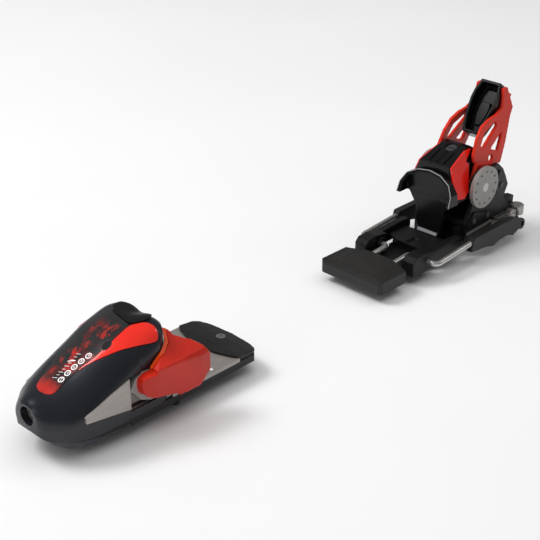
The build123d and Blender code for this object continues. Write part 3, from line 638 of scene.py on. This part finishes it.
FAR_LOW = {72.0: 28.2, 78.0: 30.4, 86.0: 31.4, 93.0: 31.6, 96.6: 30.4}
SADDLE_FRONT = {-16.4: 94.6, -13.6: 89.0, -9.9: 86.3, -2.1: 87.0, 8.8: 89.0, 15.6: 93.6}
SADDLE_BACK = {-16.4: 99.4, -13.0: 103.4, -8.0: 104.8, 0.0: 105.2, 9.0: 104.8, 15.6: 100.0}


def grown(table, amount):
    return {x: y + amount for x, y in table.items()}


def toe_dome():
    """Rounded black housing with its cover, side panels and rear saddle let in."""
    stations = [5.0, 5.3, 5.8, 6.4, 7.5, 9.0, 11.0, 13.0, 15.0, 17.5] + [20.0 + 2.5 * k for k in range(33)]
    stations += [101.5, 103.5, 105.0, 106.5, 107.6, 108.5]
    dome = dome_solid(stations)
    cutters = [dome_solid([14.0 + 3.0 * k for k in range(31)], 3.4)]
    floor = FLOOR + [(x, -y) for x, y in reversed(FLOOR) if y]
    cutters += [box((26, 100), (-25, 25), (2, 14), TOE_X), box((90, 102.3), (-12, 12), (11, 32), TOE_X),
                prism(floor, 2, 11.7, "z", TOE_X),
                prism(ring(6.9, at=(0, NOSE_Z)), -2, 18.4, "x", TOE_X),
                prism(ring(5.2, at=(0, NOSE_Z)), 5, 24, "x", TOE_X)]
    for side in (1, -1):
        px, py = WING_PIVOT[0], side * WING_PIVOT[1]
        cutters += [
            prism(SIDE_WEB, *sorted((side * 28.7, side * 31.2)), "y", TOE_X),
            prism(SIDE_PLATE, *sorted((side * 30.8, side * 36)), "y", TOE_X),
            prism(ring(20.0, 96, (px, py)), 14.2, 40.7, "z", TOE_X),
            prism([(98, side * 12), (98, side * 40), (112, side * 40), (112, side * 12)],
                  6, 40.7, "z", TOE_X),
            prism([(x, side * y) for x, y in WING_ROOM], 40.6, 72, "z", TOE_X),
            prism(ring(3.02, 32, (px, py)), 6, 52.5, "z", TOE_X)]
    gap = 0.3
    cutters += [
        patch("cut", strip_rows(grown(WINDOW_NEAR, -gap), grown(WINDOW_FAR, gap), 12, 2.0), -1.6, 3.0),
        patch("cut", strip_rows(grown(FLANK_LOW, -gap), grown(FLANK_HIGH, gap), 8, 2.0), -1.6, 3.0),
        patch("cut", strip_rows(grown(FAR_HIGH, -gap), grown(FAR_LOW, gap), 6, 2.0), -1.6, 3.0)]
    carve(dome, cutters)
    dome.name = "toe_dome"
    smooth(dome, 32)
    finish(dome, "base", "dome_black", ("toe_housing",))
    pieces = (("toe_cover", strip_rows(WINDOW_NEAR, WINDOW_FAR, 24), "window_print", "toe_window", 0.35),
              ("toe_panel_near", strip_rows(FLANK_LOW, FLANK_HIGH, 18), "flank_red", "toe_flank_left", 0.35),
              ("toe_panel_far", strip_rows(FAR_HIGH, FAR_LOW, 8), "flank_red", "toe_flank_right", 0.35),
              ("toe_saddle", crosswise_rows(SADDLE_FRONT, SADDLE_BACK, 18), "base_black", None, 1.5))
    for name, rows, slot_name, node, high in pieces:
        piece = patch(name, rows, -1.5, high)
        soften(piece, 0.35 if node else 0.8, 3, 50)
        for face in piece.data.polygons:
            face.use_smooth = True
        finish(piece, "base", slot_name, (node,) if node else ())


def laid(name, mesh, centre, turn, out, slot_name):
    """Wraps a thin flat mesh, drawn in millimetres about the origin, on to the toe's cover."""
    for vert in mesh.vertices:
        flat = Matrix.Rotation(turn, 2) @ Vector(vert.co[:2])
        x, y = centre[0] + flat.x, centre[1] + flat.y
        point = skin(x, share_at(x, y), out + vert.co.z)
        vert.co = ((point.x + TOE_X) * MM, point.y * MM, point.z * MM)
    obj = put(name, mesh)
    return finish(obj, "base", slot_name)


def plate_mesh(outlines, thick):
    """Flat rings or discs: each item is an outer outline and, for a ring, an inner one."""
    verts, faces = [], []
    for outer, inner in outlines:
        n, base = len(outer), len(verts)
        loops = [outer] + ([inner] if inner else [])
        for z in (0.0, thick):
            for loop in loops:
                verts += [(a, b, z) for a, b in loop]
        k_of = lambda level, loop, k: base + (level * len(loops) + loop) * n + k % n
        for k in range(n):
            faces.append((k_of(0, 0, k), k_of(0, 0, k + 1), k_of(1, 0, k + 1), k_of(1, 0, k)))
            if inner:
                faces.append((k_of(0, 1, k + 1), k_of(0, 1, k), k_of(1, 1, k), k_of(1, 1, k + 1)))
                faces.append((k_of(1, 0, k), k_of(1, 0, k + 1), k_of(1, 1, k + 1), k_of(1, 1, k)))
                faces.append((k_of(0, 0, k + 1), k_of(0, 0, k), k_of(0, 1, k), k_of(0, 1, k + 1)))
        if not inner:
            faces += [tuple(k_of(1, 0, k) for k in range(n)), tuple(k_of(0, 0, k) for k in range(n))[::-1]]
    mesh = bpy.data.meshes.new("plate")
    mesh.from_pydata(verts, [], faces)
    return mesh


def text_mesh(text, size, thick):
    """Numerals as a closed mesh, centred on the origin."""
    curve = bpy.data.curves.new("text", "FONT")
    curve.body, curve.size, curve.extrude = text, size, thick / 2
    curve.align_x, curve.align_y = "CENTER", "CENTER"
    obj = put("text", curve)
    graph = bpy.context.evaluated_depsgraph_get()
    mesh = bpy.data.meshes.new_from_object(obj.evaluated_get(graph))
    bpy.data.objects.remove(obj)
    return mesh


def toe_scale():
    """Release scale on the cover: five numbered discs, ticks, a pointer and a small dark port."""
    spots = [(31.6, -4.2), (37.4, -3.9), (42.9, -4.3), (48.3, -5.2), (53.6, -6.4)]
    for k, spot in enumerate(spots):
        disc = plate_mesh([(ring(2.25, 32), ring(1.55, 32))], 0.1)
        laid(f"scale_disc_{k}", disc, spot, 0, 0.36, "rib_white")
        number = text_mesh(str(2 + 2 * k) if k < 4 else "9", 3.0, 0.1)
        laid(f"scale_number_{k}", number, spot, -pi / 2 + 0.3, 0.42, "rib_white")
    bars = [(x, 1.1 if k % 2 else 1.8) for k, x in enumerate([30.5 + 2.6 * j for j in range(9)])]
    for k, (x, length) in enumerate(bars):
        shape = [(-0.16, -length), (0.16, -length), (0.16, length), (-0.16, length)]
        tick = plate_mesh([(shape, None)], 0.1)
        laid(f"scale_tick_{k}", tick, (x, 0.4 + 0.02 * x), 0.35, 0.36, "rib_white")
    pointer = [(-0.3, -3.0), (0.3, -3.0), (0.3, 2.4), (0.0, 3.2), (-0.3, 2.4)]
    laid("scale_pointer", plate_mesh([(pointer, None)], 0.12), (45.2, 1.6), 0.5, 0.36, "rib_white")
    port = [(3.4 * c, 2.2 * s) for c, s in ring(1.0, 40)]
    rim = [(3.9 * c, 2.7 * s) for c, s in ring(1.0, 40)]
    laid("cover_port", plate_mesh([(port, None)], 0.12), (65.4, -11.4), 0.0, 0.38, "base_black")
    laid("cover_port_rim", plate_mesh([(rim, port)], 0.3), (65.4, -11.4), 0.0, 0.36, "dome_black")


# ---------------------------------------------------------------- heel piece
def pad_form(p):
    """Heel pad: a raised middle field beside a groove, and a front edge that falls away."""
    if p.z > 12.0:
        x, y = p.x - HEEL_X, p.y
        side = min(max((y - 17.0) / 1.4, 0.0), 1.0)
        front = min(max((6.5 - x) / 6.0, 0.0), 1.0)
        groove = 2.718 ** (-((y - 17.6) / 0.7) ** 2)
        p = Vector((p.x, p.y, p.z - 0.7 * side - 1.6 * front * front - 0.6 * groove))
    return p


def spring_piece(node, axis, anchor, length=1.0, foot=None):
    """A coil spring as its own piece; given a foot, it is squeezed along its axis to the given share of its
    length.
    """
    obj = put(node + "_coil", NODES[node].data.copy())
    axis, anchor = Vector(axis), Vector(anchor)
    if foot:
        for vert in obj.data.vertices:
            vert.co -= axis * ((vert.co - Vector(foot)).dot(axis) * (1 - length))
    for face in obj.data.polygons:
        face.use_smooth = True
    finish(obj, BODY_OF[node], SLOT_OF[node], (node,))
    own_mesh(obj)


def springs():
    lean = radians(110)
    up = (cos(lean), 0.0, sin(lean))
    foot, top = ((MM * (AXLE[0] + HEEL_X + d * up[0]), 0.0, MM * (AXLE[1] + d * up[2])) for d in (17.8, 26.4))
    spring_piece("toe_release_spring", (1, 0, 0), ((TOE_X + 64) * MM, 0, NOSE_Z * MM))
    spring_piece("pressure_springs", (1, 0, 0), ((HEEL_X + 170.3) * MM, 0, 0.014))
    spring_piece("heel_release_spring", up, top, 0.935, foot)


def drum_cut(side):
    """What a wing's outer cheek leaves free in front of its rounded lower edge."""
    edge = [(50, 8), (50, 44), (74.6, 44), (73.6, 40.3), (72.0, 35.5), (71.9, 31.5), (72.9, 27.4),
            (75.2, 24.4), (79.5, 22.3), (86, 20.8), (95, 18.9), (101, 16.8), (101, 8)]
    return prism(edge, *sorted((side * 32.9, side * 60)), "y", TOE_X)


# node: size of the remeshing cell in millimetres, passes of smoothing
MELTED = {"wing_left": (0.55, 5), "wing_right": (0.55, 5), "brake_pedal": (0.6, 4),
          "brake_foot_left": (0.5, 4), "brake_foot_right": (0.5, 4), "pole_socket": (0.4, 3),
          "heel_lever": (0.5, 3), "heel_cup": (0.4, 3), "heel_housing": (0.5, 3), "rear_cover": (0.5, 4),
          "brake_base_left": (0.5, 3), "brake_base_right": (0.5, 3), "brake_cover": (0.5, 2),
          "side_latch": (0.35, 3), "afd_plate": (0.5, 3)}
# node: width of its rounded edges in millimetres, 0 for none; the rest take EDGE_WIDTH
EDGE_WIDTH = 0.4
EDGE = {"brake_wire": 0, "toe_front_foot": 0.8, "axle_disc_left": 0.3, "axle_disc_right": 0.3,
        "toe_guide_ribs": 0.2,
        "cup_trim": 0.1, "carrier_rails": 0.2}


def heel_ridges():
    """Three ridges along the top of the heel housing, in front of the setting screw."""
    for k, (y, width, tall) in enumerate(((-7.4, 1.5, 1.2), (0.0, 2.0, 0.8), (7.4, 1.5, 1.2))):
        side = [(108.2, 74.0), (108.2, 76.4), (110.0, 76.9 + tall), (124.6, 82.7 + tall),
                (126.4, 83.1), (126.4, 80.0)]
        piece = prism(side, y - width / 2, y + width / 2, "y", HEEL_X)
        piece.name = f"housing_ridge_{k}"
        soften(piece, 0.5, 3)
        finish(piece, "heel_head", "heel_black")


def socket_point(across, along, back):
    """Point in the pole socket's own directions: across, up along the lever, and behind its face."""
    dx, dz = 0.583, 0.813
    return (159.0 + along * dx + back * dz, -across, 90.0 + along * dz - back * dx)


def socket_lining():
    """Stepped floor of the pole socket: a raised tongue and a ledge round it."""
    half = [(2.0, 3.4), (12, 7.2), (28, 9.4), (36, 9.2), (43.5, 7.6)]
    step = [(8.0, 2.6), (16, 5.0), (26, 5.8), (31, 4.4)]
    for k, (rows, low, high) in enumerate(((half, 6.9, 5.0), (step, 5.0, 2.8))):
        outline = [(w, s) for s, w in rows] + [(-w, s) for s, w in reversed(rows)]
        n = len(outline)
        verts = [socket_point(w, s, low) for w, s in outline]
        verts += [socket_point(w * 0.9, 22 + (s - 22) * 0.93, high) for w, s in outline]
        faces = [tuple(range(n))[::-1], tuple(range(n, 2 * n))]
        faces += [(i, (i + 1) % n, n + (i + 1) % n, n + i) for i in range(n)]
        piece = solid(f"socket_step_{k}", verts, faces, HEEL_X)
        soften(piece, 0.5, 3)
        finish(piece, "lever", "heel_black")


# x, z and radius of the bosses
CARRIER_SCREWS = ((130.5, 23.5, 2.7), (151.0, 22.6, 2.7), (169.5, 46.0, 2.2), (184.0, 15.0, 2.4))


def carrier_dressing():
    """Screws, bosses and stiffening ribs on the carrier's cheeks."""
    for side, label in ((1, "right"), (-1, "left")):
        for k, (x, z, r) in enumerate(CARRIER_SCREWS):
            y = side * (29.3 if k < 2 else 28.9 if k == 2 else 27.3)
            boss = prism(ring(r + 0.9, 32, (x, z)), *sorted((y - side * 1.2, y + side * 0.5)), "y", HEEL_X)
            boss.name = f"carrier_boss_{label}_{k}"
            soften(boss, 0.3, 2)
            finish(boss, "carrier", "base_black")
            head = prism(ring(r - 0.3, 32, (x, z)), *sorted((y, y + side * 1.2)), "y", HEEL_X)
            slots = [prism([(x - a, z - b), (x + a, z - b), (x + a, z + b), (x - a, z + b)],
                           *sorted((y + side * 0.7, y + side * 3)), "y", HEEL_X)
                     for a, b in ((0.3, 1.6), (1.6, 0.3))]
            carve(head, slots)
            head.name = f"carrier_screw_{label}_{k}"
            soften(head, 0.15, 2)
            finish(head, "carrier", "spring_steel")
        for k in range(7):
            x = 124.5 + 5.2 * k
            if abs(x - 130.5) < 3.2 or abs(x - 151.0) < 3.2:
                continue
            rib = prism([(x - 0.7, 4.5), (x + 0.7, 4.5), (x + 0.7, 10.6), (x - 0.7, 10.6)],
                        *sorted((side * 23.2, side * 25.6)), "y", HEEL_X)
            rib.name = f"jaw_rib_{label}_{k}"
            soften(rib, 0.3, 2)
            finish(rib, "carrier", "base_black")


toe_dome()
toe_scale()
for node_name, (voxel, passes) in MELTED.items():
    wing_side = {"wing_left": -1, "wing_right": 1}.get(node_name)
    node_cutters = [drum_cut(wing_side)] if wing_side else ()
    melted(node_name, voxel, passes, pad_form if node_name == "brake_pedal" else None, node_cutters)
springs()
heel_ridges()
socket_lining()
carrier_dressing()

for node_name, node_obj in NODES.items():
    node_obj.data.materials.clear()
    node_obj.data.materials.append(M[SLOT_OF[node_name]])
    edge_width = EDGE.get(node_name, EDGE_WIDTH)
    if edge_width and not node_obj.hide_render:
        soften(node_obj, edge_width)


# ---------------------------------------------------------------- studio
def area_light(name, location, target, size, power, shine=True):
    data = bpy.data.lights.new(name, "AREA")
    data.shape = "RECTANGLE"
    data.size, data.size_y = size
    data.energy = power
    lamp = put(name, data)
    lamp.location = location
    lamp.rotation_mode = "QUATERNION"
    lamp.rotation_quaternion = (Vector(target) - Vector(location)).to_track_quat("-Z", "Y")
    lamp.visible_glossy = shine


def studio():
    """Pale floor under soft light: broad lamps for the body of the light, small ones for the shine."""
    world = bpy.data.worlds.new("studio")
    bpy.context.scene.world = world
    world.use_nodes = True
    back = world.node_tree.nodes["Background"]
    back.inputs["Color"].default_value = (1, 1, 1, 1)
    back.inputs["Strength"].default_value = 0.22
    mesh = bpy.data.meshes.new("floor")
    r = 6.0
    mesh.from_pydata([(-r, -r, 0), (r, -r, 0), (r, r, 0), (-r, r, 0)], [], [(0, 1, 2, 3)])
    floor = put("floor", mesh)
    floor.location.z = -0.008
    mat, tree, node = shader("floor_white", (0.88, 0.88, 0.88), 0.7, spec=0.2)
    cloud = noise(tree, 3.0)
    pale = ramp(tree, cloud.outputs["Fac"], (0.87, 0.87, 0.87), (0.89, 0.89, 0.89))
    tree.links.new(pale, node.inputs["Base Color"])
    mesh.materials.append(mat)
    area_light("dome_light", (0.0, 0.0, 3.2), (0, 0, 0), (4.5, 4.5), 70, shine=False)
    area_light("key", (-1.1, 1.5, 2.2), (0, 0, 0), (1.2, 1.2), 37, shine=False)
    area_light("shine_key", (-0.7, 0.9, 1.5), (0, 0, 0), (0.5, 0.5), 3.0)
    area_light("shine_left", (-1.6, 0.1, 0.9), (0, 0, 0), (0.35, 1.0), 3.0)
    area_light("shine_right", (1.2, -0.7, 1.1), (0.1, 0, 0), (0.3, 0.9), 1.6)


def camera():
    """Three-quarter view from the toe's left, as a long lens about a metre away."""
    azimuth, elevation, distance = radians(-45.83), radians(27.19), 1.0419
    target = Vector((0.03308, 0.06487, 0))
    back = Vector((sin(azimuth) * cos(elevation), -cos(azimuth) * cos(elevation), sin(elevation)))
    data = bpy.data.cameras.new("camera")
    data.lens, data.sensor_width = 81.91, 36
    cam = put("camera", data)
    cam.location = target + back * distance
    cam.rotation_mode = "QUATERNION"
    cam.rotation_quaternion = (-back).to_track_quat("-Z", "Y")
    bpy.context.scene.camera = cam


studio()
camera()
bpy.context.scene.view_settings.view_transform = "Standard"
